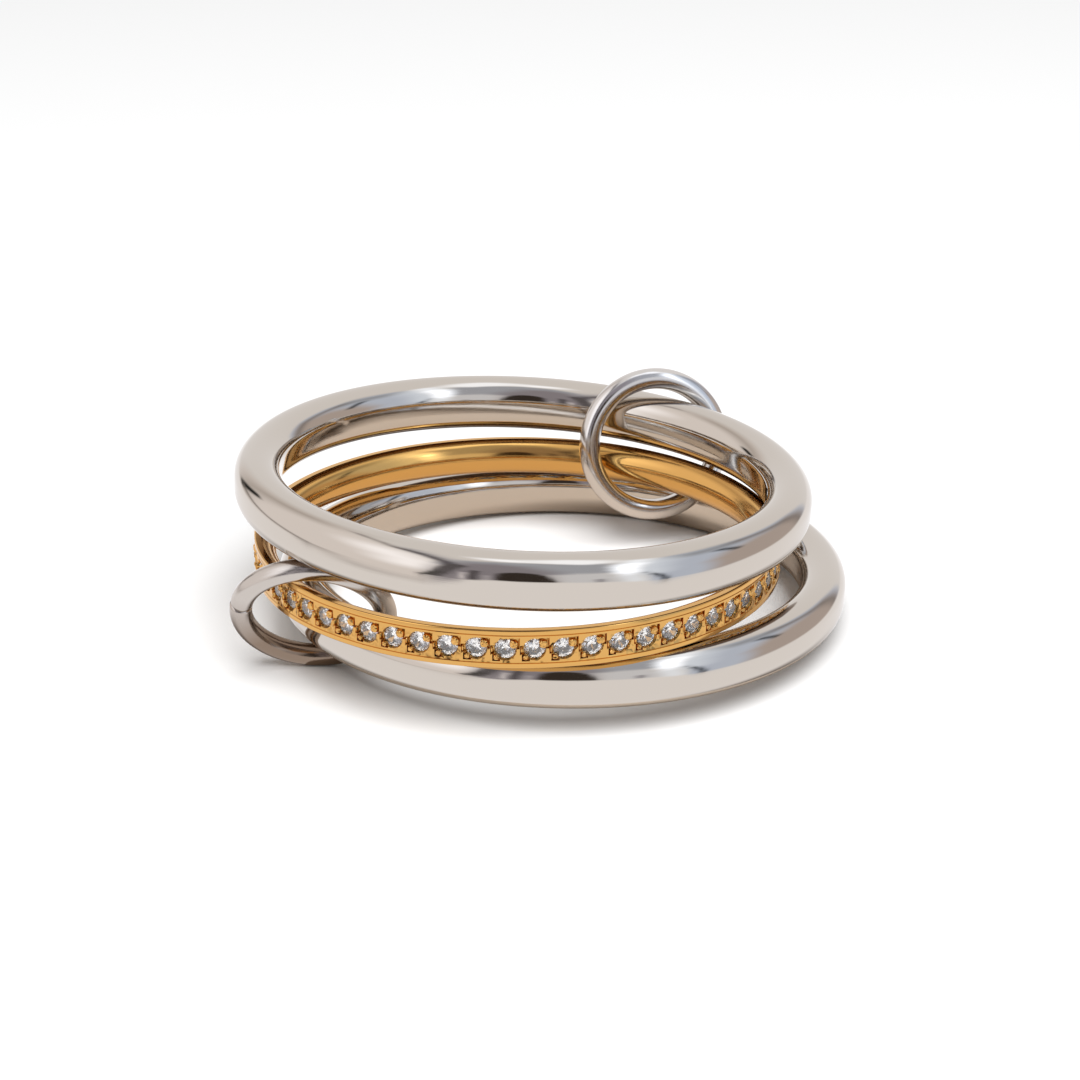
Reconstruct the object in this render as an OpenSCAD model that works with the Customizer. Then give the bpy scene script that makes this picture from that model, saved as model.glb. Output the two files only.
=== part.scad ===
// A stacking ring: two plain bands and one stone band, held together by two small
// connector rings, lying on a flat surface. All sizes are in millimetres. Z is up and
// the surface is at z = 0. The front of the stack faces -Y.

/* [Plain bands] */
// Inside diameter of the upper and the lower band
finger_d = 17.3; // [16.8:0.1:17.8]
// Thickness of a plain band, from its inside to its outside
plain_thickness = 1.66; // [1.4:0.02:1.8]
// Height of the straight stretch between the two rounded edges of a plain band
plain_straight = 0.36; // [0.1:0.02:0.6]

/* [Stone band] */
// Outside diameter of the stone band
stone_band_d = 18.82; // [18.4:0.02:19.2]
// Thickness of the stone band at mid-height
stone_band_thickness = 0.79; // [0.75:0.01:0.85]
// Thickness of the stone band along its two sides
stone_band_side = 0.24; // [0.2:0.01:0.35]
// Height of the stone band
stone_band_height = 1.37; // [1.25:0.01:1.4]

/* [Stones] */
// Number of stones round the stone band
stone_count = 60; // [48:1:60]
// Diameter of one stone
stone_d = 0.74; // [0.66:0.01:0.74]
// Width of a stone's table as a share of its diameter
table_share = 0.56; // [0.5:0.01:0.6]
// Height of a stone's crown as a share of its diameter
crown_share = 0.15; // [0.12:0.01:0.16]
// Depth of a stone's pavilion as a share of its diameter
pavilion_share = 0.43; // [0.4:0.01:0.44]
// Angle of the first stone, counted from +X
first_stone_angle = 3.8; // [0:0.1:360]

/* [Setting] */
// How deep a stone's girdle sits below the outside of the band
girdle_depth = 0.14; // [0.13:0.01:0.18]
// Clearance between a stone and its seat
seat_gap = 0.02; // [0.01:0.01:0.03]
// Diameter of one prong
prong_d = 0.24; // [0.2:0.01:0.26]
// Distance from the axis of a stone to the axis of its prong
prong_reach = 0.39; // [0.38:0.01:0.42]
// Angle of a prong above the mid-line of the band
prong_angle = 40; // [35:1:45]
// How far a prong stands out from the outside of the band
prong_proud = 0.05; // [0.03:0.01:0.07]
// Thickness of a prong where it lies over its stone
prong_tip = 0.1; // [0.08:0.01:0.1]
// Depth of the bright-cut notch round a prong
notch_depth = 0.12; // [0.08:0.01:0.12]

/* [Links] */
// Wire diameter of both connector rings
wire_d = 0.8; // [0.7:0.05:0.9]
// Diameter of both connector rings along the middle of their wire
link_d = 5.04; // [4.9:0.02:5.3]
// Opening of the cut seam in the front connector ring
seam_gap = 0.05; // [0.02:0.01:0.2]
// Place of the seam round the front connector ring, counted from its right
seam_angle = 168; // [150:1:190]

/* [Resting pose] */
// Mean height of the lower band above the surface
lower_lift = 0.51; // [0.4:0.01:0.7]
// Mean gap between the lower band and the stone band
lower_slack = 0.165; // [0.1:0.005:0.6]
// Mean gap between the stone band and the upper band
upper_slack = 0.445; // [0.3:0.005:0.7]
// Sideways and backward offset of the lower band
lower_shift = [0.7, 0.46]; // [-2:0.01:2]
// Sideways and backward offset of the stone band
middle_shift = [-0.91, -0.89]; // [-2:0.01:2]
// Sideways and backward offset of the upper band
upper_shift = [-0.7, -0.47]; // [-2:0.01:2]
// Tilt of the lower band about X and then about Y, in degrees
lower_tilt = [-2.9, 0.9]; // [-5:0.1:5]
// Tilt of the stone band about X and then about Y, in degrees
middle_tilt = [-2.1, 0.3]; // [-5:0.1:5]
// Tilt of the upper band about X and then about Y, in degrees
upper_tilt = [-3.4, 3]; // [-5:0.1:5]
// Centre of the front connector ring
front_link_at = [-8, -5.04, 2.61]; // [-12:0.01:12]
// Lean of the front connector ring from lying flat, then its turn about Z, in degrees
front_link_turn = [119, -0.8]; // [-180:0.1:180]
// Centre of the rear connector ring
rear_link_at = [4.22, 7.12, 3.99]; // [-12:0.01:12]
// Lean of the rear connector ring from lying flat, then its turn about Z, in degrees
rear_link_turn = [77.4, 13.7]; // [-180:0.1:180]

/* [Hidden] */

// Smoothness of the large and of the small round shapes
large_fn = 240;
small_fn = 32;

// Colours of the three metals and of the stones
white_metal = [0.78, 0.75, 0.72];
yellow_metal = [0.85, 0.58, 0.25];
link_metal = [0.68, 0.66, 0.64];
clear_stone = [0.93, 0.95, 0.97];

// Plain bands
plain_height = plain_thickness + plain_straight;
plain_edge_r = plain_thickness / 2;
plain_mean_r = finger_d / 2 + plain_edge_r;

// Stone band
stone_band_r = stone_band_d / 2;
stone_band_inner_r = stone_band_r - stone_band_thickness;
stone_pitch = 360 / stone_count;

// Rounded inside of the stone band: how far it stands in from the two sides, and the
// radius that takes it from one side's inner edge to the other's
comfort_depth = stone_band_thickness - stone_band_side;
comfort_r = (pow(stone_band_height / 2, 2) + pow(comfort_depth, 2)) / (2 * comfort_depth);

// How deep a prong is rooted in the floor of its notch, how far a cut reaches out of the
// band, and how much wider the groove at a girdle is than the opening over it
prong_root = 0.08;
cut_reach = 0.1;
groove_widening = 0.01;

// Levels of the setting, measured from the axis of the band
girdle_r = stone_band_r - girdle_depth;
prong_top_r = stone_band_r + prong_proud;
prong_under_r = prong_top_r - prong_tip;
notch_floor_r = stone_band_r - notch_depth;
prong_foot_r = notch_floor_r - prong_root;
clear_of_band_r = prong_top_r + cut_reach;

// Round openings of one seat: over the stone, and the wider groove at its girdle
seat_r = stone_d / 2 + seat_gap;
groove_r = seat_r + groove_widening;

// One notch, from its corner nearest to the stone
notch_corner = [0.17, 0.14];
notch_size = [0.29, 0.3];

// Levels of one stone, measured from its girdle
crown_h = crown_share * stone_d;
pavilion_h = pavilion_share * stone_d;
table_sides = 8;
girdle_sides = 2 * table_sides;

// Heights of the middle of each band
lower_z = lower_lift + plain_height / 2;
middle_z = lower_z + (plain_height + stone_band_height) / 2 + lower_slack;
upper_z = middle_z + (stone_band_height + plain_height) / 2 + upper_slack;

// Puts a piece in the resting pose of one band
module rest_band(shift, height, tilt) {
    translate([shift[0], shift[1], height])
        rotate([tilt[0], tilt[1], 0])
            children();
}

// Puts a piece in the resting pose of one connector ring
module rest_link(at, turn) {
    translate(at)
        rotate([turn[0], 0, turn[1]])
            children();
}

// Puts a piece at one stone, with its Z pointing out of the band and its Y up
module at_stone(index) {
    rotate([0, 0, first_stone_angle + stone_pitch * index])
        rotate([90, 0, 90])
            children();
}

// The two opposite corners of one setting, upper right and lower left
module both_corners() {
    children();
    rotate([0, 0, 180]) children();
}

// Section of a plain band: straight inside and outside, rounded edges
module plain_section() {
    union() {
        translate([0, plain_straight / 2]) circle(r = plain_edge_r, $fn = small_fn * 2);
        translate([0, -plain_straight / 2]) circle(r = plain_edge_r, $fn = small_fn * 2);
        square([plain_thickness, plain_straight], center = true);
    }
}

module plain_band() {
    rotate_extrude($fn = large_fn)
        translate([plain_mean_r, 0])
            plain_section();
}

// Section of the stone band: flat outside, rounded inside for comfort
module stone_band_section() {
    intersection() {
        translate([stone_band_inner_r, -stone_band_height / 2])
            square([stone_band_thickness, stone_band_height]);
        translate([stone_band_inner_r + comfort_r, 0])
            circle(r = comfort_r, $fn = small_fn * 2);
    }
}

// One round prong as seen along the axis of its stone
module prong_outline() {
    rotate([0, 0, prong_angle])
        translate([prong_reach, 0])
            circle(d = prong_d, $fn = small_fn);
}

// One prong, from its foot in the band to its tip over the stone
module prong() {
    translate([0, 0, prong_foot_r])
        linear_extrude(prong_top_r - prong_foot_r)
            prong_outline();
}

// The space that one stone needs, up to the underside of its prongs
module seat_cut() {
    translate([0, 0, girdle_r])
        rotate_extrude($fn = small_fn)
            polygon([
                [0, -pavilion_h - 2 * seat_gap],
                [groove_r, -seat_gap],
                [groove_r, prong_under_r - girdle_r],
                [0, prong_under_r - girdle_r]
            ]);
}

// The opening over the stone and the two notches, which leave the prongs standing
module opening_cut() {
    translate([0, 0, notch_floor_r])
        linear_extrude(clear_of_band_r - notch_floor_r)
            difference() {
                union() {
                    circle(r = seat_r, $fn = small_fn);
                    both_corners() translate(notch_corner) square(notch_size);
                }
                both_corners() prong_outline();
            }
}

// Points of one cut stone: its table, then its girdle, then its culet
function stone_points() = concat(
    [for (i = [0 : table_sides - 1])
        let (turn = (i - 0.25) * 360 / table_sides, r = table_share * stone_d / 2)
        [r * cos(turn), r * sin(turn), crown_h]],
    [for (i = [0 : girdle_sides - 1])
        let (turn = i * 360 / girdle_sides, r = stone_d / 2)
        [r * cos(turn), r * sin(turn), 0]],
    [[0, 0, -pavilion_h]]
);

// Number of a table point and of a girdle point, counted round the stone
function table_point(i) = i % table_sides;
function girdle_point(i) = table_sides + i % girdle_sides;

// Facets of one cut stone, clockwise from outside: table, kites, triangles, pavilion
function stone_facets() = concat(
    [[for (i = [0 : table_sides - 1]) table_sides - 1 - i]],
    [for (i = [0 : table_sides - 1])
        [table_point(i), table_point(i + 1), girdle_point(2 * i + 1), girdle_point(2 * i)]],
    [for (i = [0 : table_sides - 1])
        [table_point(i + 1), girdle_point(2 * i + 2), girdle_point(2 * i + 1)]],
    [for (i = [0 : girdle_sides - 1])
        [girdle_point(i), girdle_point(i + 1), table_sides + girdle_sides]]
);

module stone() {
    translate([0, 0, girdle_r])
        polyhedron(points = stone_points(), faces = stone_facets());
}

module upper_band() {
    color(white_metal)
        rest_band(upper_shift, upper_z, upper_tilt)
            plain_band();
}

module lower_band() {
    color(white_metal)
        rest_band(lower_shift, lower_z, lower_tilt)
            plain_band();
}

module middle_band() {
    color(yellow_metal)
        rest_band(middle_shift, middle_z, middle_tilt)
            difference() {
                union() {
                    rotate_extrude($fn = large_fn) stone_band_section();
                    for (i = [0 : stone_count - 1])
                        at_stone(i) both_corners() prong();
                }
                for (i = [0 : stone_count - 1])
                    at_stone(i) seat_cut();
                for (i = [0 : stone_count - 1])
                    at_stone(i) opening_cut();
            }
}

module stones() {
    color(clear_stone)
        rest_band(middle_shift, middle_z, middle_tilt)
            for (i = [0 : stone_count - 1])
                at_stone(i) stone();
}

// The front connector ring is bent round from wire, and its two ends meet at a seam
module front_link() {
    seam_turn = seam_gap / (link_d / 2) * 180 / PI;
    color(link_metal)
        rest_link(front_link_at, front_link_turn)
            rotate([0, 0, seam_angle + seam_turn / 2])
                rotate_extrude(angle = 360 - seam_turn, $fn = large_fn)
                    translate([link_d / 2, 0])
                        circle(d = wire_d, $fn = small_fn * 2);
}

module rear_link() {
    color(link_metal)
        rest_link(rear_link_at, rear_link_turn)
            rotate_extrude($fn = large_fn)
                translate([link_d / 2, 0])
                    circle(d = wire_d, $fn = small_fn * 2);
}

upper_band();
middle_band();
lower_band();
front_link();
rear_link();
stones();
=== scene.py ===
import math
import random
import bmesh
import bpy
from mathutils import Matrix, Vector
from mathutils.geometry import delaunay_2d_cdt


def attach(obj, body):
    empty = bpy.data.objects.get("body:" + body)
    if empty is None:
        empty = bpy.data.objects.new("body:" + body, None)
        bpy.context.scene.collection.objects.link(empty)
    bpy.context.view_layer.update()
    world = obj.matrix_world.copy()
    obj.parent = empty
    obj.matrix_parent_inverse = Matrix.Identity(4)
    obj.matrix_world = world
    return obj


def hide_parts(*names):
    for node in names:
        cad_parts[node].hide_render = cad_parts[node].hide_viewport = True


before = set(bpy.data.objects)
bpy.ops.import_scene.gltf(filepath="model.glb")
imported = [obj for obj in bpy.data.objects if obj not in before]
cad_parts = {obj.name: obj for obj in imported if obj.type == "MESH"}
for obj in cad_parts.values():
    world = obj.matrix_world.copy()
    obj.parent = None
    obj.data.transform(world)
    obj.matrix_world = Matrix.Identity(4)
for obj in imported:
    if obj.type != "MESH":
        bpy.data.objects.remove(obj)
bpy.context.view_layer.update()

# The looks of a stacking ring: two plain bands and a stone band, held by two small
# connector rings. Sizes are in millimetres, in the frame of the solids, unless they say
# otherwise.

MM = 0.001
BODY = "root"
FULL_TURN = 2 * math.pi
WHITE = (1, 1, 1, 1)

# Plain bands, and how far their meshes lie inside the solids
FINGER_D = 17.3
PLAIN_THICKNESS = 1.66
PLAIN_STRAIGHT = 0.36
PLAIN_HEIGHT = PLAIN_THICKNESS + PLAIN_STRAIGHT
PLAIN_EDGE_R = PLAIN_THICKNESS / 2
PLAIN_MEAN_R = FINGER_D / 2 + PLAIN_EDGE_R
PLAIN_INSET = 0.006

# Painted shade on an underside, darker towards its bottom edge: how far below the band's middle
# it starts, and its fading in
UNDERSIDE_TOP = 0.7
UNDERSIDE_REACH = 0.12

# Stone band
STONE_BAND_R = 9.41
STONE_BAND_THICKNESS = 0.79
STONE_BAND_SIDE = 0.24
STONE_BAND_HEIGHT = 1.37
COMFORT_DEPTH = STONE_BAND_THICKNESS - STONE_BAND_SIDE
COMFORT_R = ((STONE_BAND_HEIGHT / 2) ** 2 + COMFORT_DEPTH ** 2) / (2 * COMFORT_DEPTH)
EDGE_ROUND = 0.05
RIM_Y = STONE_BAND_HEIGHT / 2 - EDGE_ROUND
STONE_COUNT = 60
FIRST_STONE_ANGLE = math.radians(3.8)
STONE_PITCH = FULL_TURN / STONE_COUNT
TILE_WIDTH = STONE_PITCH * STONE_BAND_R

# Stones: their parts as shares of the width, how deep the girdle lies in the band, and how
# far a stone may lean, in degrees
STONE_D = 0.74
TABLE_SHARE = 0.56
CROWN_SHARE = 0.15
PAVILION_SHARE = 0.42
GIRDLE_SHARE = 0.02
LOWER_FACET_SHARE = 0.25
GIRDLE_DEPTH = 0.14
STONE_LEAN = 2

# Links, and how far their meshes lie inside the solids
WIRE_D = 0.8
LINK_D = 5.04
WIRE_INSET = 0.004

# Seam of the front link: its gap, its angle in degrees, and the share of the wire's width
# that its chamfered ends keep
SEAM_GAP = 0.05
SEAM_ANGLE = 168
SEAM_END_SHARE = 0.88

# Painted shade on the front link, darker towards its bottom: how far above its middle it starts,
# and its fading in
LINK_SHADE_TOP = 1.2
LINK_SHADE_REACH = 2.6

# How far the lower band is off the table at its middle, the slack between the bands there,
# and so the height of the middle of each band
LOWER_LIFT = 0.51
LOWER_SLACK = 0.165
UPPER_SLACK = 0.445
LOWER_Z = LOWER_LIFT + PLAIN_HEIGHT / 2
MIDDLE_Z = LOWER_Z + (PLAIN_HEIGHT + STONE_BAND_HEIGHT) / 2 + LOWER_SLACK
UPPER_Z = MIDDLE_Z + (STONE_BAND_HEIGHT + PLAIN_HEIGHT) / 2 + UPPER_SLACK

# Camera: the point that it looks at, how steeply it looks down in degrees, its distance, the
# frame and focal length in pixels, and the nearest and furthest that it sees in metres
CAMERA_TARGET = (-0.11, -0.81, 3.505)
CAMERA_ELEVATION = 23.93
CAMERA_DISTANCE = 115
FRAME_PIXELS = 1080
FOCAL_PIXELS = 3203
SENSOR_MM = 36
CLIP_START = 0.001
CLIP_END = 10

# Steps of round shapes, and the turn between two faces that still looks smooth
ROUND_STEPS = 600
SECTION_STEPS = 56
LINK_STEPS = 240
TILE_STEPS = 12
RIM_STEPS = 9
COMFORT_STEPS = 24
SEAT_STEPS = 32
PRONG_STEPS = 16
BAR_STEPS = 12
SMOOTH_TURN = math.radians(60)
FACET_TURN = math.radians(14)

# Seeds of the random draws: points of the setting, its unevenness, and the stones' turns
TILE_SEED = 5
SETTING_SEED = 11
STONE_SEED = 7


def rest_band(shift, height, tilt):
    """Where a band lies: tilted about X, then about Y, then moved, in metres."""
    about_x, about_y = (math.radians(angle) for angle in tilt)
    turn = Matrix.Rotation(about_y, 4, "Y") @ Matrix.Rotation(about_x, 4, "X")
    return Matrix.Scale(MM, 4) @ Matrix.Translation((*shift, height)) @ turn


def rest_link(at, lean, turn):
    """Where a link lies: leaned about X, then turned about Z, then moved, in metres."""
    about_x, about_z = math.radians(lean), math.radians(turn)
    spin = Matrix.Rotation(about_z, 4, "Z") @ Matrix.Rotation(about_x, 4, "X")
    return Matrix.Scale(MM, 4) @ Matrix.Translation(at) @ spin


LOWER_REST = rest_band(shift=(0.7, 0.46), height=LOWER_Z, tilt=(-2.9, 0.9))
MIDDLE_REST = rest_band(shift=(-0.91, -0.89), height=MIDDLE_Z, tilt=(-2.1, 0.3))
UPPER_REST = rest_band(shift=(-0.7, -0.47), height=UPPER_Z, tilt=(-3.4, 3))
FRONT_LINK_REST = rest_link(at=(-8, -5.04, 2.61), lean=119, turn=-0.8)
REAR_LINK_REST = rest_link(at=(4.22, 7.12, 3.99), lean=77.4, turn=13.7)


def new_material(name):
    """A material with nodes, its shader and its node tree."""
    material = bpy.data.materials.new(name)
    material.use_nodes = True
    return material, material.node_tree, material.node_tree.nodes["Principled BSDF"]


def add_node(tree, kind, inputs=(), **settings):
    """One node with its plain settings and its unlinked inputs."""
    node = tree.nodes.new(kind)
    for key, value in settings.items():
        setattr(node, key, value)
    for key, value in dict(inputs).items():
        node.inputs[key].default_value = value
    return node


# Wheel marks of the metal, long along the band, in the millimetres of the UV map. Their
# noise within this range makes the roughness, between these shares of the metal's own.
MARK_STRETCH = (0.35, 9.0, 1.0)
MARK_NOISE = {"Scale": 2.4, "Detail": 4.0, "Roughness": 0.65}
MARK_RANGE = (0.35, 0.75)
HAZE_SHARES = (0.7, 1.5)

# Slow waviness of the metal, and polishing lines of the stones with their roughness
WAVE_NOISE = {"Scale": 420.0, "Detail": 1.0}
LINE_NOISE = {"Scale": 9000.0, "Detail": 2.0}
LINE_RANGE = (0.4, 0.8)
LINE_ROUGHNESS = 0.05

# Stones: their tint, how clear they are, and how strongly they bend light
STONE_COLOUR = (0.98, 0.96, 0.94, 1)
STONE_CLEARNESS = 0.95
STONE_IOR = 2.15


def polished_metal(name, colour, roughness, scratch_depth, wave_depth, painted_shade=None):
    """Polished metal with fine wheel marks along the band and a faint slow waviness.

    With a colour of painted shade, the mesh's depth attribute says how far that colour takes
    over."""
    material, tree, shader = new_material(name)
    link = tree.links.new
    shader.inputs["Metallic"].default_value = 1.0
    shader.inputs["Base Color"].default_value = (*colour, 1)
    # Painted shade: the colour darkens towards the shade colour where the mesh's depth attribute
    # is high.
    if painted_shade:
        depth = add_node(tree, "ShaderNodeAttribute", attribute_name="depth")
        tint = add_node(tree, "ShaderNodeMixRGB", {"Color1": (*colour, 1),
                                                   "Color2": (*painted_shade, 1)})
        link(depth.outputs["Fac"], tint.inputs["Fac"])
        link(tint.outputs["Color"], shader.inputs["Base Color"])
    uv = add_node(tree, "ShaderNodeUVMap", uv_map="along")
    stretch = add_node(tree, "ShaderNodeMapping", {"Scale": MARK_STRETCH})
    marks = add_node(tree, "ShaderNodeTexNoise", MARK_NOISE)
    haze = add_node(tree, "ShaderNodeMapRange", {
        "From Min": MARK_RANGE[0], "From Max": MARK_RANGE[1],
        "To Min": roughness * HAZE_SHARES[0], "To Max": roughness * HAZE_SHARES[1]})
    link(uv.outputs["UV"], stretch.inputs["Vector"])
    link(stretch.outputs["Vector"], marks.inputs["Vector"])
    link(marks.outputs["Fac"], haze.inputs["Value"])
    link(haze.outputs["Result"], shader.inputs["Roughness"])
    place = add_node(tree, "ShaderNodeTexCoord")
    waves = add_node(tree, "ShaderNodeTexNoise", WAVE_NOISE)
    wave_bump = add_node(tree, "ShaderNodeBump", {"Distance": wave_depth * MM})
    mark_bump = add_node(tree, "ShaderNodeBump", {"Distance": scratch_depth * MM})
    link(place.outputs["Object"], waves.inputs["Vector"])
    link(waves.outputs["Fac"], wave_bump.inputs["Height"])
    link(marks.outputs["Fac"], mark_bump.inputs["Height"])
    link(wave_bump.outputs["Normal"], mark_bump.inputs["Normal"])
    link(mark_bump.outputs["Normal"], shader.inputs["Normal"])
    return material


def cut_stone(name):
    """Clear cut stone: strongly bending glass, with faint polishing lines on its facets."""
    material, tree, shader = new_material(name)
    link = tree.links.new
    shader.inputs["Base Color"].default_value = STONE_COLOUR
    shader.inputs["Transmission Weight"].default_value = STONE_CLEARNESS
    shader.inputs["IOR"].default_value = STONE_IOR
    place = add_node(tree, "ShaderNodeTexCoord")
    lines = add_node(tree, "ShaderNodeTexNoise", LINE_NOISE)
    haze = add_node(tree, "ShaderNodeMapRange", {
        "From Min": LINE_RANGE[0], "From Max": LINE_RANGE[1],
        "To Min": 0.0, "To Max": LINE_ROUGHNESS})
    link(place.outputs["Object"], lines.inputs["Vector"])
    link(lines.outputs["Fac"], haze.inputs["Value"])
    link(haze.outputs["Result"], shader.inputs["Roughness"])
    return material


def matt(name, colour):
    """A dull surface without any shine."""
    material, tree, shader = new_material(name)
    shader.inputs["Base Color"].default_value = (*colour, 1)
    shader.inputs["Roughness"].default_value = 0.9
    shader.inputs["Specular IOR Level"].default_value = 0.0
    return material


def emitter(name, strength=1.0, attribute=None):
    """A material that only glows, white or in the mesh's own colours."""
    material = bpy.data.materials.new(name)
    material.use_nodes = True
    tree = material.node_tree
    tree.nodes.clear()
    glow = add_node(tree, "ShaderNodeEmission", {"Color": WHITE, "Strength": strength})
    out = add_node(tree, "ShaderNodeOutputMaterial")
    if attribute:
        light = add_node(tree, "ShaderNodeAttribute", attribute_name=attribute)
        tree.links.new(light.outputs["Color"], glow.inputs["Color"])
    tree.links.new(glow.outputs["Emission"], out.inputs["Surface"])
    material.cycles.emission_sampling = "NONE"
    return material


# Polished metal of the bands; its second colour is painted shade, used on the upper band's
# underside.
WHITE_METAL = polished_metal("white_metal_polished", (0.66, 0.61, 0.55), roughness=0.06,
                             scratch_depth=0.0004, wave_depth=0.004, painted_shade=(0.15, 0.1, 0.07))
# The front link's own copy of the bands' metal: a little darker, and darker still towards its
# bottom, as painted shade.
FRONT_LINK_SHADED_METAL = polished_metal("front_link_polished", (0.62, 0.575, 0.53), roughness=0.2,
                                  scratch_depth=0.0008, wave_depth=0.012,
                                  painted_shade=(0.28, 0.21, 0.16))
# The rear link's own copy of the bands' metal, brighter than theirs: painted light that lightens
# its reflections.
REAR_LINK_LIT_METAL = polished_metal("rear_link_polished", (0.74, 0.71, 0.68), roughness=0.15,
                                 scratch_depth=0.0006, wave_depth=0.008)
# Yellow metal; its second colour is painted shade in the deep parts of the setting.
YELLOW_METAL = polished_metal("yellow_metal_polished", (0.77, 0.44, 0.135), roughness=0.12,
                              scratch_depth=0.0005, wave_depth=0.004, painted_shade=(0.62, 0.36, 0.11))
CUT_STONE = cut_stone("clear_stone_cut")


def ramp(distance, width):
    """Rises from 0 to 1 over a width."""
    return min(1.0, max(0.0, distance / width))


def circle_points(radius, steps, centre=(0, 0), start=0.0, sweep=FULL_TURN):
    """Points round a circle or an arc, the last one left out."""
    return [(centre[0] + radius * math.cos(start + sweep * i / steps),
             centre[1] + radius * math.sin(start + sweep * i / steps)) for i in range(steps)]


def direction(azimuth, elevation):
    """A direction from degrees: azimuth 0 is the camera's side and 90 the right."""
    a, e = math.radians(azimuth), math.radians(elevation)
    return Vector((math.sin(a) * math.cos(e), -math.cos(a) * math.cos(e), math.sin(e)))


def turned(bm, section, steps, start=0.0, sweep=FULL_TURN, closed=True):
    """Turns a section of radii and heights round Z, with a UV map in millimetres.

    A closed section is a loop. The columns of points are given back."""
    columns = steps if sweep == FULL_TURN else steps + 1
    count = len(section)
    mean_r = sum(r for r, z in section) / count
    lengths = [0.0]
    for i in range(count):
        lengths.append(lengths[-1] + math.dist(section[i], section[(i + 1) % count]))
    grid = []
    for j in range(columns):
        angle = start + sweep * j / steps
        grid.append([bm.verts.new((r * math.cos(angle), r * math.sin(angle), z))
                     for r, z in section])
    uv = bm.loops.layers.uv.new("along")
    for j in range(steps):
        for i in range(count if closed else count - 1):
            k = (i + 1) % count
            after = grid[(j + 1) % columns]
            face = bm.faces.new((grid[j][i], after[i], after[k], grid[j][k]))
            corners = ((j, i), (j + 1, i), (j + 1, i + 1), (j, i + 1))
            for loop, (column, row) in zip(face.loops, corners):
                loop[uv].uv = (start * mean_r + sweep * column / steps * mean_r, lengths[row])
    return grid


def mark_sharp(bm, limit):
    """Smooth shading, but edges that turn by more than the limit stay crisp."""
    for face in bm.faces:
        face.smooth = True
    for edge in bm.edges:
        edge.smooth = len(edge.link_faces) == 2 and edge.calc_face_angle(0) < limit


def new_object(name, bm, material):
    """An object of the scene with the finished mesh and its material."""
    mesh = bpy.data.meshes.new(name)
    bm.to_mesh(mesh)
    bm.free()
    mesh.materials.append(material)
    thing = bpy.data.objects.new(name, mesh)
    bpy.context.scene.collection.objects.link(thing)
    return thing


def add_piece(name, bm, place, material, node):
    """Makes a piece that stands for a solid, from a mesh in its own millimetres."""
    bmesh.ops.recalc_face_normals(bm, faces=bm.faces)
    bm.transform(place)
    piece = new_object(name, bm, material)
    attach(piece, BODY)
    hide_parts(node)


def plain_section():
    """Straight inside and outside with round edges, anticlockwise."""
    half = SECTION_STEPS // 2
    edge_r = PLAIN_EDGE_R - PLAIN_INSET
    upper = circle_points(edge_r, half, (PLAIN_MEAN_R, PLAIN_STRAIGHT / 2), 0, math.pi)
    upper.append((PLAIN_MEAN_R - edge_r, PLAIN_STRAIGHT / 2))
    lower = circle_points(edge_r, half, (PLAIN_MEAN_R, -PLAIN_STRAIGHT / 2), math.pi, math.pi)
    lower.append((PLAIN_MEAN_R + edge_r, -PLAIN_STRAIGHT / 2))
    return upper + lower


def plain_band(name, place, underside=0.0):
    """A plain band, whose underside is darkened with painted shade as far as the last value says.
    """
    bm = bmesh.new()
    depth = bm.verts.layers.float.new("depth")
    turned(bm, plain_section(), ROUND_STEPS)
    for v in bm.verts:
        # Painted shade on the underside, growing towards the bottom edge.
        v[depth] = underside * ramp(-UNDERSIDE_TOP - v.co.z, UNDERSIDE_REACH)
    mark_sharp(bm, SMOOTH_TURN)
    add_piece(name + "_polished", bm, place, WHITE_METAL, name)


def wire_section():
    """The round wire of a link."""
    return circle_points(WIRE_D / 2 - WIRE_INSET, SECTION_STEPS, (LINK_D / 2, 0))


def rear_link():
    """The closed link."""
    bm = bmesh.new()
    turned(bm, wire_section(), LINK_STEPS)
    mark_sharp(bm, SMOOTH_TURN)
    add_piece("rear_link_polished", bm, REAR_LINK_REST, REAR_LINK_LIT_METAL,
              "rear_link")


def front_link():
    """The link with a seam, where its two chamfered ends nearly meet."""
    bm = bmesh.new()
    depth = bm.verts.layers.float.new("depth")
    seam_turn = SEAM_GAP / (LINK_D / 2)
    start = math.radians(SEAM_ANGLE) + seam_turn / 2
    grid = turned(bm, wire_section(), LINK_STEPS, start=start, sweep=FULL_TURN - seam_turn)
    for column in (grid[0], grid[-1]):
        middle = sum((v.co for v in column), Vector()) / len(column)
        for v in column:
            v.co = middle.lerp(v.co, SEAM_END_SHARE)
    for v in bm.verts:
        # Painted shade: darker towards the bottom of the link.
        v[depth] = ramp(LINK_SHADE_TOP - v.co.y, LINK_SHADE_REACH)
    bm.faces.new(reversed(grid[0]))
    bm.faces.new(grid[-1])
    mark_sharp(bm, SMOOTH_TURN)
    add_piece("front_link_polished", bm, FRONT_LINK_REST, FRONT_LINK_SHADED_METAL,
              "front_link")


# The setting of one stone, laid flat: X along the band and Y across it, from the stone's
# middle, with heights over the outside of the band. The seat is the opening for the stone,
# and a triangle counts as in it from this margin.
SEAT_R = 0.39
SEAT_BEVEL = 0.04
SEAT_MARGIN = 1e-4

# Notches, from their low to their high corner, with their depth and the width of a wall
NOTCHES = [
    {"low": (0.13, 0.02), "high": (0.482, 0.40)},
    {"low": (-0.43, -0.42), "high": (-0.16, -0.17)},
    {"low": (-0.488, -0.16), "high": (-0.34, 0.13)},
]
NOTCH_DEPTH = 0.1
NOTCH_WALL = 0.025

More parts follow.
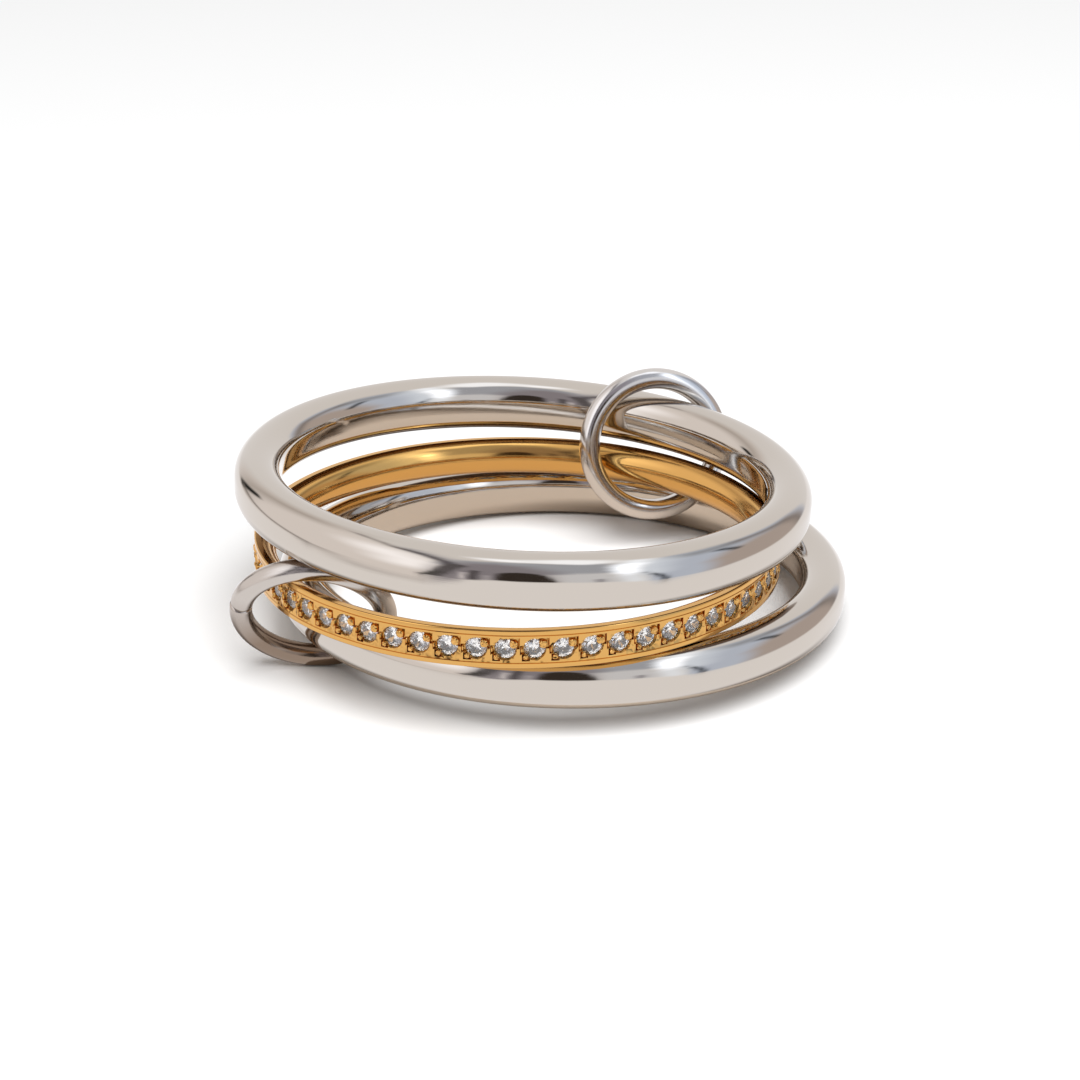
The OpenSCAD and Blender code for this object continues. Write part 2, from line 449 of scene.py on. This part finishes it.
# Prongs: how far they stand out of the band, the shares of their radius that have an
# outline, the power that makes them rounded squares, and the one that flattens their tops
PRONGS = [
    {"middle": (0.285, 0.185), "radius": 0.15},
    {"middle": (-0.3, -0.29), "radius": 0.1},
]
PRONG_PROUD = 0.045
PRONG_LEVELS = (1.0, 0.95, 0.8, 0.5)
PRONG_SQUARENESS = 3
PRONG_FLATNESS = 6

# The long bead between two stones, with its middle and how far it reaches from there
BAR_AT = (-0.445, -0.015)
BAR_REACH = (0.042, 0.125)
BAR_LEVELS = (1.0, 0.9, 0.6)
BAR_FLATNESS = 4

# Grooves along both rims
GROOVE_Y = 0.495
GROOVE_WIDTH = 0.04
GROOVE_DEPTH = 0.03

# Hand-cut facets: the pitch of their corners, how far a corner strays as a share of it,
# their depth, and the width over which they fade out before the grooves
CUT_STEP = 0.09
CUT_STRAY = 0.3
CUT_DEPTH = 0.026
CUT_FADE = 0.14

# How unevenly the settings are made: their shift, and the share of their heights
UNEVEN_SHIFT = 0.012
UNEVEN_HEIGHT = 0.25

# Where the sides of a setting have points between their ends, and the gaps below which two
# points are one, in a flat setting and round the band
SIDE_Y = 0.2
MEET_GAP = 1e-5
WELD_GAP = 0.002


def box_distance(x, y, box):
    """Distance from a point to the outside of a box, less than zero inside it."""
    dx = max(box["low"][0] - x, x - box["high"][0])
    dy = max(box["low"][1] - y, y - box["high"][1])
    return max(dx, dy)


def prong_distance(x, y, prong):
    """Distance from a prong's middle as a share of its radius, for a rounded square."""
    across = abs((x - prong["middle"][0]) / prong["radius"]) ** PRONG_SQUARENESS
    up = abs((y - prong["middle"][1]) / prong["radius"]) ** PRONG_SQUARENESS
    return (across + up) ** (1 / PRONG_SQUARENESS)


def bar_distance(x, y):
    """Distance from the middle of the bead between two stones, as a share of its reach."""
    return math.hypot((x - BAR_AT[0]) / BAR_REACH[0], (y - BAR_AT[1]) / BAR_REACH[1])


def raised(share, flatness):
    """Height of a prong or bead, at a share of the way from its middle to its edge."""
    return -NOTCH_DEPTH + (NOTCH_DEPTH + PRONG_PROUD) * (1 - share ** flatness) ** 0.5


def setting_height(x, y):
    """Height of the setting over the outside of the band, at a point round one stone."""
    height = 0.0
    for notch in NOTCHES:
        wall = box_distance(x, y, notch) + NOTCH_WALL
        height = min(height, -NOTCH_DEPTH * (1 - ramp(wall, NOTCH_WALL)))
    seat = math.hypot(x, y) - (SEAT_R - SEAT_BEVEL)
    height = min(height, -GIRDLE_DEPTH * (1 - ramp(seat, SEAT_BEVEL)))
    for prong in PRONGS:
        share = prong_distance(x, y, prong)
        if share < 1:
            height = max(height, raised(share, PRONG_FLATNESS))
    share = bar_distance(x, y)
    if share < 1:
        height = max(height, raised(share, BAR_FLATNESS))
    groove = abs(abs(y) - GROOVE_Y)
    if groove < GROOVE_WIDTH / 2:
        height = min(height, -GROOVE_DEPTH * (1 - groove / (GROOVE_WIDTH / 2)))
    return height


def rectangle(low, high):
    """The four corners of a box, anticlockwise."""
    return [(low[0], low[1]), (high[0], low[1]), (high[0], high[1]), (low[0], high[1])]


def rounded_square(prong, scale):
    """Points round a prong at a share of its radius."""
    middle, radius = prong["middle"], prong["radius"]
    points = []
    for c, s in circle_points(1.0, PRONG_STEPS):
        corner = abs(c) ** PRONG_SQUARENESS + abs(s) ** PRONG_SQUARENESS
        grow = corner ** (-1 / PRONG_SQUARENESS)
        points.append((middle[0] + radius * scale * grow * c,
                       middle[1] + radius * scale * grow * s))
    return points


def tile_loops():
    """The outlines where the slope of one setting changes."""
    loops = [circle_points(SEAT_R, SEAT_STEPS), circle_points(SEAT_R - SEAT_BEVEL, SEAT_STEPS)]
    for notch in NOTCHES:
        for inset in (0.0, NOTCH_WALL):
            loops.append(rectangle([v + inset for v in notch["low"]],
                                   [v - inset for v in notch["high"]]))
    for prong in PRONGS:
        loops.extend(rounded_square(prong, level) for level in PRONG_LEVELS)
    for level in BAR_LEVELS:
        loops.append([(BAR_AT[0] + x * BAR_REACH[0], BAR_AT[1] + y * BAR_REACH[1])
                      for x, y in circle_points(level, BAR_STEPS)])
    return loops


def tile_mesh():
    """Points with heights and triangles of one setting, flat, from edge to edge."""
    half = TILE_WIDTH / 2
    points = []
    edges = []

    def add_line(line, closed):
        first = len(points)
        points.extend(Vector(p) for p in line)
        count = len(line)
        for i in range(count if closed else count - 1):
            edges.append((first + i, first + (i + 1) % count))

    levels = [-RIM_Y, RIM_Y]
    for side in (1, -1):
        levels += [side * (GROOVE_Y + shift * GROOVE_WIDTH / 2) for shift in (-1, 0, 1)]
    for y in sorted(levels):
        add_line([(-half + TILE_WIDTH * i / TILE_STEPS, y) for i in range(TILE_STEPS + 1)], False)
    for x in (-half, half):
        add_line([(x, y) for y in (-RIM_Y, -SIDE_Y, SIDE_Y, RIM_Y)], False)
    for loop in tile_loops():
        add_line(loop, True)
    reach = (half - CUT_STEP, GROOVE_Y - CUT_STEP)
    draw = random.Random(TILE_SEED)
    for i in range(round(2 * reach[0] / CUT_STEP) + 1):
        for j in range(round(2 * reach[1] / CUT_STEP) + 1):
            x = i * CUT_STEP - reach[0] + draw.uniform(-CUT_STRAY, CUT_STRAY) * CUT_STEP
            y = j * CUT_STEP - reach[1] + draw.uniform(-CUT_STRAY, CUT_STRAY) * CUT_STEP
            points.append(Vector((x, y)))
    flat, _, faces, *_ = delaunay_2d_cdt(points, edges, [], 0, MEET_GAP)
    inside = SEAT_R - SEAT_BEVEL - SEAT_MARGIN
    kept = []
    for face in faces:
        middle = sum((flat[i] for i in face), Vector((0, 0))) / len(face)
        under_prong = min(prong_distance(*middle, prong) for prong in PRONGS) < 1
        if middle.length > inside or under_prong:
            kept.append(face)
    return [(p.x, p.y, setting_height(p.x, p.y)) for p in flat], kept


def band_section():
    """The stone band's section without its outside: from the upper rim round to the lower."""
    half = STONE_BAND_HEIGHT / 2
    inner_r = STONE_BAND_R - STONE_BAND_THICKNESS
    side_r = STONE_BAND_R - STONE_BAND_SIDE
    rim_r = STONE_BAND_R - EDGE_ROUND
    reach = math.asin(half / COMFORT_R)
    rim = circle_points(EDGE_ROUND, RIM_STEPS, (rim_r, RIM_Y), 0, math.pi / 2)
    rim.append((rim_r, half))
    comfort = circle_points(COMFORT_R, COMFORT_STEPS, (inner_r + COMFORT_R, 0),
                            math.pi - reach, 2 * reach)
    below = [(r, -z) for r, z in reversed(rim)]
    return rim + comfort + [(side_r, -half)] + below


def stone_band():
    """The setting wrapped round once for each stone, joined to the turned inside."""
    bm = bmesh.new()
    turned(bm, band_section(), STONE_COUNT * TILE_STEPS,
           start=FIRST_STONE_ANGLE + STONE_PITCH / 2, closed=False)
    points, faces = tile_mesh()
    uv = bm.loops.layers.uv["along"]
    depth = bm.verts.layers.float.new("depth")
    draw = random.Random(SETTING_SEED)
    for index in range(STONE_COUNT):
        middle = FIRST_STONE_ANGLE + STONE_PITCH * index
        aside, up, taller = (draw.uniform(-1, 1) for _ in range(3))
        corners = []
        for x, y, height in points:
            across = math.cos(math.pi * x / TILE_WIDTH)
            share = max(0.0, across * math.cos(math.pi * y / (2 * RIM_Y)))
            angle = middle + (x + UNEVEN_SHIFT * aside * share) / STONE_BAND_R
            cut = 0.0
            if share:
                cut = CUT_DEPTH * draw.uniform(-1, 0) * ramp(GROOVE_Y - abs(y), CUT_FADE)
            r = STONE_BAND_R + cut + height * (1 + UNEVEN_HEIGHT * taller * share)
            at = (r * math.cos(angle), r * math.sin(angle), y + UNEVEN_SHIFT * up * share)
            corners.append(bm.verts.new(at))
            # Painted shade: the deeper a point lies in the setting, the darker its colour.
            corners[-1][depth] = ramp(-height, NOTCH_DEPTH)
        for face in faces:
            new = bm.faces.new([corners[i] for i in face])
            for loop, i in zip(new.loops, face):
                loop[uv].uv = (middle * STONE_BAND_R + points[i][0], points[i][1])
    loose = [v for v in bm.verts if not v.link_faces]
    bmesh.ops.delete(bm, geom=loose, context="VERTS")
    bmesh.ops.remove_doubles(bm, verts=bm.verts, dist=WELD_GAP)
    mark_sharp(bm, FACET_TURN)
    add_piece("stone_band_set", bm, MIDDLE_REST, YELLOW_METAL, "middle_band")


def brilliant(bm, place):
    """One round brilliant cut stone with its girdle at height zero."""
    girdle_r = STONE_D / 2
    table_r = TABLE_SHARE * girdle_r
    crown = CROWN_SHARE * STONE_D
    thick = GIRDLE_SHARE * STONE_D
    depth = PAVILION_SHARE * STONE_D
    eighth = math.pi / 4
    star_r = (table_r + girdle_r) / 2
    lower_r = LOWER_FACET_SHARE * girdle_r
    offset = math.cos(eighth / 2)
    star_z = crown * (girdle_r - star_r * offset) / (girdle_r - table_r)
    lower_z = -thick - (depth - thick) * (girdle_r - lower_r * offset) / girdle_r

    def ring(radius, height, count, turn=0.0):
        return [bm.verts.new(place @ Vector((x, y, height)))
                for x, y in circle_points(radius, count, start=turn)]

    table = ring(table_r, crown, 8)
    star = ring(star_r, star_z, 8, eighth / 2)
    top = ring(girdle_r, 0.0, 16)
    bottom = ring(girdle_r, -thick, 16)
    lower = ring(lower_r, lower_z, 8, eighth / 2)
    culet = bm.verts.new(place @ Vector((0, 0, -depth)))
    bm.faces.new(table)
    for i in range(8):
        after = (i + 1) % 8
        g, h, k = 2 * i, 2 * i + 1, (2 * i + 2) % 16
        bm.faces.new((table[i], star[i], table[after]))
        bm.faces.new((table[i], star[i - 1], top[g], star[i]))
        bm.faces.new((star[i], top[g], top[h]))
        bm.faces.new((star[i], top[h], top[k]))
        bm.faces.new((top[g], bottom[g], bottom[h], top[h]))
        bm.faces.new((top[h], bottom[h], bottom[k], top[k]))
        bm.faces.new((culet, lower[i - 1], bottom[g], lower[i]))
        bm.faces.new((lower[i], bottom[g], bottom[h]))
        bm.faces.new((lower[i], bottom[h], bottom[k]))


def stones():
    """The row of cut stones, each turned a little differently in its seat."""
    bm = bmesh.new()
    draw = random.Random(STONE_SEED)
    upright = Matrix.Rotation(math.pi / 2, 4, "Z") @ Matrix.Rotation(math.pi / 2, 4, "X")
    out = Matrix.Translation((0, 0, STONE_BAND_R - GIRDLE_DEPTH))
    for index in range(STONE_COUNT):
        around = Matrix.Rotation(FIRST_STONE_ANGLE + STONE_PITCH * index, 4, "Z")
        spin = Matrix.Rotation(draw.uniform(0, math.pi / 4), 4, "Z")
        lean = Matrix.Rotation(math.radians(draw.uniform(-STONE_LEAN, STONE_LEAN)), 4, "X")
        brilliant(bm, around @ upright @ out @ lean @ spin)
    add_piece("stones_cut", bm, MIDDLE_REST, CUT_STONE, "stones")


# The studio as the ring sees it, in degrees of azimuth and elevation. Azimuth 0 is the
# camera's side and 90 the right. A panel fills its outline, a strip follows its line, and
# each covers those before it. Its edge fades over the width called soft.
STUDIO_BASE = (0.87, 0.85, 0.85)
STUDIO = [
    {"name": "left_panel", "soft": 9, "light": (0.93, 0.88, 0.87),
     "outline": [(-150, -20), (-150, 50), (-118, 60), (-85, 64), (-58, 60), (-31, 44),
                 (-35, -20)]},
    {"name": "left_glow", "soft": 30, "light": (1.38, 1.38, 1.45), "width": 24,
     "line": [(-66, 46), (-46, 34), (-44, 18)]},
    {"name": "left_shade", "soft": 26, "light": (0.52, 0.47, 0.44), "width": 14,
     "line": [(-138, -5), (-138, 44)]},
    {"name": "left_patch", "soft": 4, "light": (0.02, 0.02, 0.02), "width": 6,
     "line": [(-140, -1), (-129, 14)]},
    {"name": "left_tail", "soft": 5, "light": (0.2, 0.18, 0.17), "width": 3,
     "line": [(-138, 0), (-113, -7), (-90, -14)]},
    {"name": "left_line", "soft": 4, "light": (0.42, 0.39, 0.38), "width": 1.5,
     "line": [(-95, -13), (-66, -16), (-38, -17)]},
    {"name": "front_top", "soft": 8, "light": (0.46, 0.49, 0.56),
     "outline": [(-36, 40), (-38, 70), (-22, 79), (0, 82), (35, 83), (62, 77), (80, 68),
                 (62, 58), (44, 30), (-20, 30)]},
    {"name": "front_shade", "soft": 16, "light": (0.31, 0.29, 0.33),
     "outline": [(-34, -20), (-31, 62), (-12, 70), (10, 66), (18, 44), (12, -20)]},
    {"name": "front_light", "soft": 14, "light": (0.78, 0.80, 0.86),
     "outline": [(14, -20), (14, 28), (26, 34), (40, 30), (40, -20)]},
    {"name": "grey_patch", "soft": 5, "light": (0.28, 0.27, 0.31), "width": 3,
     "line": [(29.5, -4), (29.5, 6)]},
    {"name": "arc_over_panel", "soft": 12, "light": (0.5, 0.5, 0.55), "width": 3,
     "line": [(-33, 60), (-52, 68), (-80, 71), (-105, 70)]},
    {"name": "arc", "soft": 6, "light": (0.13, 0.12, 0.14), "width": 5.5,
     "line": [(-28, 42), (-36, 54), (-52, 63), (-74, 67), (-92, 66)]},
    {"name": "arc_end", "soft": 5, "light": (0.34, 0.31, 0.3), "width": 2.5,
     "line": [(-92, 66), (-120, 63), (-140, 56)]},
    {"name": "wide_strip", "soft": 3, "light": (0.13, 0.12, 0.13), "width": 7,
     "line": [(-33, -8), (-30, 6), (-27, 46)]},
    {"name": "strip_foot", "soft": 3, "light": (0.09, 0.085, 0.085), "width": 3.5,
     "line": [(-38, -11), (-35, -8), (-31, 6)]},
    {"name": "between_strips", "soft": 3, "light": (0.85, 0.82, 0.86), "width": 2,
     "line": [(-22.5, -8), (-21, 18)]},
    {"name": "thin_strip", "soft": 3, "light": (0.1, 0.09, 0.1), "width": 3.5,
     "line": [(-18, -10), (-17, 30)]},
    {"name": "third_strip", "soft": 3, "light": (0.6, 0.58, 0.62), "width": 1.5,
     "line": [(-13, -6), (-12.5, 14)]},
    {"name": "black_card", "soft": 3, "light": (0.045, 0.035, 0.03),
     "outline": [(-10, -9), (-9, 10), (-8, 26), (-5, 33), (0, 36.5), (5, 36), (9, 32),
                 (11, 26), (12.5, 12), (14, -9)]},
    {"name": "right_dome", "soft": 6, "light": (0.62, 0.70, 0.86),
     "outline": [(48, -20), (48, 20), (55, 36), (66, 46), (78, 53), (92, 57), (108, 55),
                 (119, 46), (131, 34), (139, 22), (142, 8), (141, -20)]},
    {"name": "right_grey", "soft": 16, "light": (0.38, 0.41, 0.47), "width": 12,
     "line": [(98, 48), (114, 40)]},
    {"name": "right_brown", "soft": 16, "light": (0.54, 0.47, 0.44),
     "outline": [(76, -20), (78, 14), (92, 26), (115, 28), (136, 18), (139, -20)]},
    {"name": "right_edge", "soft": 12, "light": (0.26, 0.23, 0.22), "width": 6,
     "line": [(134, -4), (132, 18), (120, 36)]},
    {"name": "right_speck", "soft": 6, "light": (0.0, 0.0, 0.0), "width": 4,
     "line": [(99, 24), (101, 36)]},
    {"name": "bow_glow", "soft": 22, "light": (0.98, 1.09, 1.26), "width": 8,
     "line": [(52, 14), (58, 34), (68, 46), (86, 55)]},
    {"name": "bow_foot", "soft": 8, "light": (1.05, 1.13, 1.26), "width": 9,
     "line": [(43, -20), (42, 12)]},
    {"name": "bow", "soft": 9, "light": (1.35, 1.47, 1.66), "width": 6,
     "line": [(43, 18), (45, 28), (50, 40), (59, 50), (70, 56), (84, 60), (98, 62)]},
    {"name": "bow_core", "soft": 9, "light": (1.75, 1.92, 2.2), "width": 8,
     "line": [(45, 27), (49.5, 40), (58, 50), (68, 55)]},
    {"name": "bow_spark", "soft": 5, "light": (4.6, 4.8, 5.2), "width": 2,
     "line": [(52, 43), (56, 48)]},
    {"name": "streak", "soft": 3, "light": (0.05, 0.06, 0.08), "width": 3,
     "line": [(56, -20), (51.5, 10)]},
    {"name": "streak_tip", "soft": 4, "light": (0.4, 0.44, 0.5), "width": 1.5,
     "line": [(51.5, 10), (50, 20)]},
    {"name": "right_top", "soft": 8, "light": (1.35, 1.42, 1.55),
     "outline": [(64, 70), (90, 67), (150, 70), (160, 84), (60, 84)]},
    {"name": "zenith", "soft": 9, "light": (1.45, 1.52, 1.65),
     "outline": [(-200, 84), (200, 84), (200, 99), (-200, 99)]},
    {"name": "below", "soft": 5, "light": (0.98, 0.96, 0.97),
     "outline": [(-210, -3), (-152, -3), (-95, -16), (-37, -17), (-24, -13), (-10, -4),
                 (14, -3), (34, -8), (52, -18), (82, -18), (115, -12), (150, -3),
                 (210, -3), (210, -99), (-210, -99)]},
    {"name": "below_left_back", "soft": 30, "light": (1.35, 1.38, 1.42), "width": 10,
     "line": [(-200, -14), (-172, -14)]},
    {"name": "under_left_back", "soft": 24, "light": (0.25, 0.22, 0.2), "width": 34,
     "line": [(-215, -52), (-145, -52)]},
    {"name": "under_right_back", "soft": 24, "light": (0.25, 0.22, 0.2), "width": 34,
     "line": [(145, -52), (215, -52)]},
    {"name": "below_right_back", "soft": 30, "light": (1.35, 1.38, 1.42), "width": 10,
     "line": [(172, -14), (200, -14)]},
]

# The dome that carries it, with its radius in metres and its step in degrees. Near the
# poles a degree of azimuth counts at least this much of a degree of elevation.
DOME_R = 0.45
DOME_STEP = 2
LEAST_SQUEEZE = 0.15


def soft_step(value):
    """Rises smoothly from 0 to 1 as the value does."""
    value = min(1.0, max(0.0, value))
    return value * value * (3 - 2 * value)


def line_distance(azimuth, elevation, line):
    """Angle from a direction to a line of directions, near enough for small angles."""
    squeeze = max(LEAST_SQUEEZE, math.cos(math.radians(elevation)))
    best = math.inf
    for (a0, e0), (a1, e1) in zip(line, line[1:]):
        along, rise = (a1 - a0) * squeeze, e1 - e0
        across, up = (azimuth - a0) * squeeze, elevation - e0
        share = (across * along + up * rise) / (along * along + rise * rise)
        share = min(1.0, max(0.0, share))
        best = min(best, math.hypot(across - share * along, up - share * rise))
    return best


def is_inside(azimuth, elevation, outline):
    """Whether a direction lies within an outline of directions."""
    inside = False
    for (a0, e0), (a1, e1) in zip(outline, outline[1:] + outline[:1]):
        if (e0 > elevation) != (e1 > elevation):
            crossing = a0 + (elevation - e0) * (a1 - a0) / (e1 - e0)
            if azimuth < crossing:
                inside = not inside
    return inside


def studio_light(azimuth, elevation):
    """Brightness of the studio in one direction, in degrees."""
    light = Vector(STUDIO_BASE)
    for card in STUDIO:
        if "outline" in card:
            outline = card["outline"]
            beyond = line_distance(azimuth, elevation, outline + outline[:1])
            if is_inside(azimuth, elevation, outline):
                beyond = -beyond
        else:
            beyond = line_distance(azimuth, elevation, card["line"]) - card["width"] / 2
        light = light.lerp(Vector(card["light"]), soft_step(0.5 - beyond / card["soft"]))
    return light


def stage_object(name, bm, material):
    """An object that isn't part of the ring."""
    thing = new_object(name, bm, material)
    return thing


def studio_dome():
    """A sphere that shows in the polished metal and in the stones, and that no camera sees."""
    bm = bmesh.new()
    colours = bm.verts.layers.float_color.new("light")
    grid = []
    for azimuth in range(-180, 180, DOME_STEP):
        column = []
        for elevation in range(DOME_STEP - 90, 90, DOME_STEP):
            corner = bm.verts.new(direction(azimuth, elevation) * DOME_R)
            corner[colours] = (*studio_light(azimuth, elevation), 1)
            column.append(corner)
        grid.append(column)
    for column, after in zip(grid, grid[1:] + grid[:1]):
        for i in range(len(column) - 1):
            bm.faces.new((column[i], column[i + 1], after[i + 1], after[i]))
    for row in (0, -1):
        bm.faces.new([column[row] for column in grid])
    dome = stage_object("studio_dome", bm, emitter("studio_light", attribute="light"))
    dome.visible_camera = False
    dome.visible_diffuse = False


# Light that falls on the floor: an even one from all round, and a soft lamp on the
# camera's side. Angles are in degrees, lengths in metres and the power in watts.
FILL_STRENGTH = 0.36
FILL_R = 0.44
FILL_STEPS = (48, 24)
LAMP_POWER = 1.4
LAMP_AZIMUTH = 7
LAMP_ELEVATION = 61
LAMP_DISTANCE = 0.32
LAMP_WIDTH = 0.3


def fill_dome():
    """The even light, which lights only what isn't polished."""
    bm = bmesh.new()
    across, up = FILL_STEPS
    bmesh.ops.create_uvsphere(bm, u_segments=across, v_segments=up, radius=FILL_R)
    dome = stage_object("fill_dome", bm, emitter("fill_light", strength=FILL_STRENGTH))
    dome.visible_camera = False
    dome.visible_glossy = False
    dome.visible_transmission = False


def lamp():
    """The soft lamp, which casts the shadow of the ring."""
    light = bpy.data.lights.new("lamp", "AREA")
    light.shape = "DISK"
    light.size = LAMP_WIDTH
    light.energy = LAMP_POWER
    holder = bpy.data.objects.new("lamp", light)
    away = direction(LAMP_AZIMUTH, LAMP_ELEVATION)
    holder.location = away * LAMP_DISTANCE
    holder.rotation_euler = away.to_track_quat("Z", "Y").to_euler()
    holder.visible_camera = False
    holder.visible_glossy = False
    holder.visible_transmission = False
    bpy.context.scene.collection.objects.link(holder)


# The table: its radius in metres, and the disc of it inside the ring in millimetres
TABLE_R = DOME_R
TABLE_STEPS = 96
TABLE_COLOUR = (0.9, 0.9, 0.9)
INNER_FLOOR_R = 10.1
INNER_FLOOR_AT = (0.6, 0.4, 0.01)
INNER_FLOOR_STEPS = 64
# The inner disc is darker and warmer than the table: painted shade, seen only in reflections.
INNER_FLOOR_SHADE_COLOUR = (0.62, 0.54, 0.47)


def floor():
    """The plain pale table that the ring lies on."""
    bm = bmesh.new()
    bmesh.ops.create_circle(bm, cap_ends=True, segments=TABLE_STEPS, radius=TABLE_R)
    table = stage_object("floor", bm, matt("floor_white", TABLE_COLOUR))
    table.visible_glossy = False


def inner_floor():
    """The table inside the ring, as the polished insides of the bands see it, in a darker colour
    than the table: painted shade over its real shading.
    """
    bm = bmesh.new()
    bmesh.ops.create_circle(bm, cap_ends=True, segments=INNER_FLOOR_STEPS,
                            radius=INNER_FLOOR_R * MM)
    bm.transform(Matrix.Translation([part * MM for part in INNER_FLOOR_AT]))
    table = stage_object("inner_floor", bm, matt("inner_floor_shaded", INNER_FLOOR_SHADE_COLOUR))
    table.visible_camera = False
    table.visible_diffuse = False
    table.visible_shadow = False


def background():
    """Plain white behind everything, as the camera sees it."""
    world = bpy.data.worlds.new("background")
    world.use_nodes = True
    world.node_tree.nodes["Background"].inputs["Color"].default_value = WHITE
    bpy.context.scene.world = world


def camera():
    """The camera of the photo, level from side to side."""
    rise = math.radians(CAMERA_ELEVATION)
    data = bpy.data.cameras.new("camera")
    data.sensor_width = SENSOR_MM
    data.lens = FOCAL_PIXELS / FRAME_PIXELS * SENSOR_MM
    data.clip_start = CLIP_START
    data.clip_end = CLIP_END
    eye = bpy.data.objects.new("camera", data)
    away = Vector((0, -math.cos(rise), math.sin(rise)))
    eye.location = Vector(CAMERA_TARGET) * MM + away * CAMERA_DISTANCE * MM
    eye.rotation_euler = (math.pi / 2 - rise, 0, 0)
    bpy.context.scene.collection.objects.link(eye)
    bpy.context.scene.camera = eye


camera()
plain_band("upper_band", UPPER_REST, underside=1.0)
plain_band("lower_band", LOWER_REST)
stone_band()
stones()
front_link()
rear_link()
floor()
inner_floor()
studio_dome()
fill_dome()
lamp()
background()
bpy.context.scene.view_settings.view_transform = "Standard"
